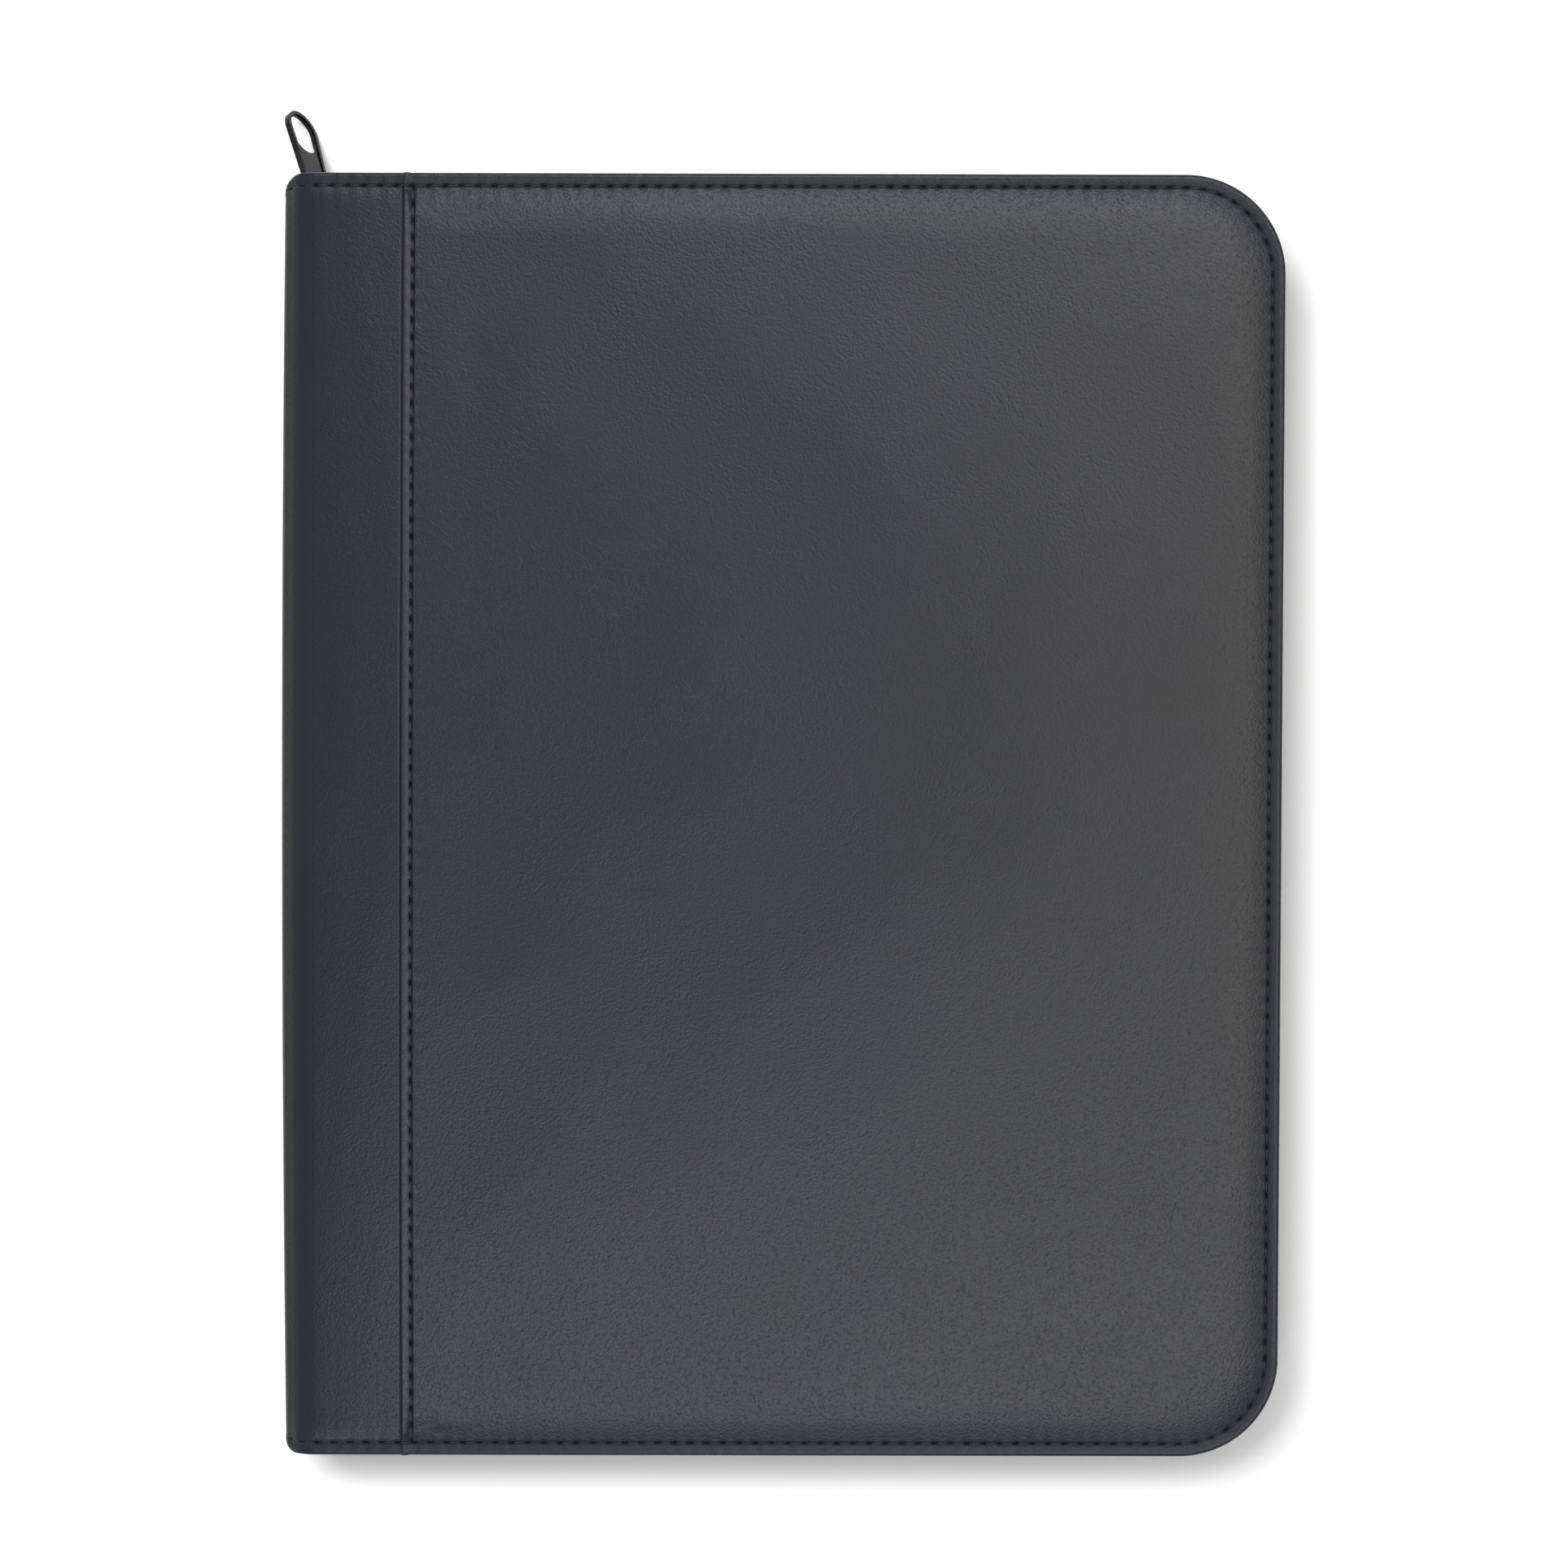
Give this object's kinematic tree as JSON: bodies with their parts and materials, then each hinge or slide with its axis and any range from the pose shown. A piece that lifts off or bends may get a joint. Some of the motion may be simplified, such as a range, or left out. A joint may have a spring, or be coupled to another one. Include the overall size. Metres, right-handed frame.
{
  "type": "zippered padfolio",
  "caption": "Black zippered padfolio: padded leather-look covers hinged on a soft spine, a zipper round three sides with slider and pull, writing pad, pockets and pen loop.",
  "frame": {"origin": "middle of the back cover's outer face, which lies on the table", "axes": "+X from the spine to the zipped long edge, +Y towards the top edge with the zipper pull, +Z out of the front cover"},
  "size_m": [0.2555, 0.345, 0.0254],
  "materials": {
    "cover_leather": "fine-grained black coated leather, satin",
    "spine_leather": "fine-grained black coated leather, satin",
    "foam": "soft grey padding",
    "board": "grey board",
    "lining": "black woven lining",
    "pocket": "black coated pocket sheet",
    "tape": "black woven zipper tape",
    "teeth": "black moulded teeth",
    "slider_metal": "black enamel, semi-gloss",
    "elastic": "black elastic webbing",
    "window": "clear vinyl",
    "paper": "ruled writing paper",
    "pad_board": "grey pad backing",
    "binding": "black head binding"
  },
  "bodies": {
    "back_cover": {"back_panel": "cover_leather", "back_foam": "foam", "back_board": "board", "back_lining": "lining", "spine_back_strip": "spine_leather", "back_zipper_tape": "tape", "back_zipper_teeth": "teeth", "back_zipper_stops": "slider_metal", "pad_pocket": "pocket", "pad_backing": "pad_board", "pad_sheets": "paper", "pad_binding": "binding"},
    "spine": {"spine_wall": "spine_leather", "spine_lining": "lining", "pen_loop": "elastic"},
    "front_cover": {"front_panel": "cover_leather", "front_foam": "foam", "front_board": "board", "front_lining": "lining", "spine_front_strip": "spine_leather", "front_zipper_tape": "tape", "front_zipper_teeth": "teeth", "front_zipper_stop": "slider_metal", "document_pocket": "pocket", "card_pocket_1": "pocket", "card_pocket_2": "pocket", "card_pocket_3": "pocket", "id_pocket_frame": "pocket", "id_window": "window"},
    "slider": {"slider_body": "slider_metal", "slider_bail": "slider_metal"},
    "pull": {"pull_tab": "slider_metal"}
  },
  "joints": [
    {"name": "spine_fold", "type": "hinge", "parent": "back_cover", "child": "spine", "pos_m": [-0.12455, 0, 0.00385], "axis": [0, -1, 0], "range_deg": [0, 90]},
    {"name": "cover_fold", "type": "hinge", "parent": "spine", "child": "front_cover", "pos_m": [-0.12455, 0, 0.02155], "axis": [0, -1, 0], "range_deg": [0, 90]},
    {"name": "slider_travel", "type": "slide", "parent": "back_cover", "child": "slider", "axis": [1, 0, 0], "range_m": [0, 0.2162], "deforming": ["front_zipper_teeth", "back_zipper_teeth"]},
    {"name": "pull_swing", "type": "hinge", "parent": "slider", "child": "pull", "pos_m": [-0.11895, 0.1603, 0.0127], "axis": [0, 0, 1], "range_deg": [-50, 14]}
  ]
}
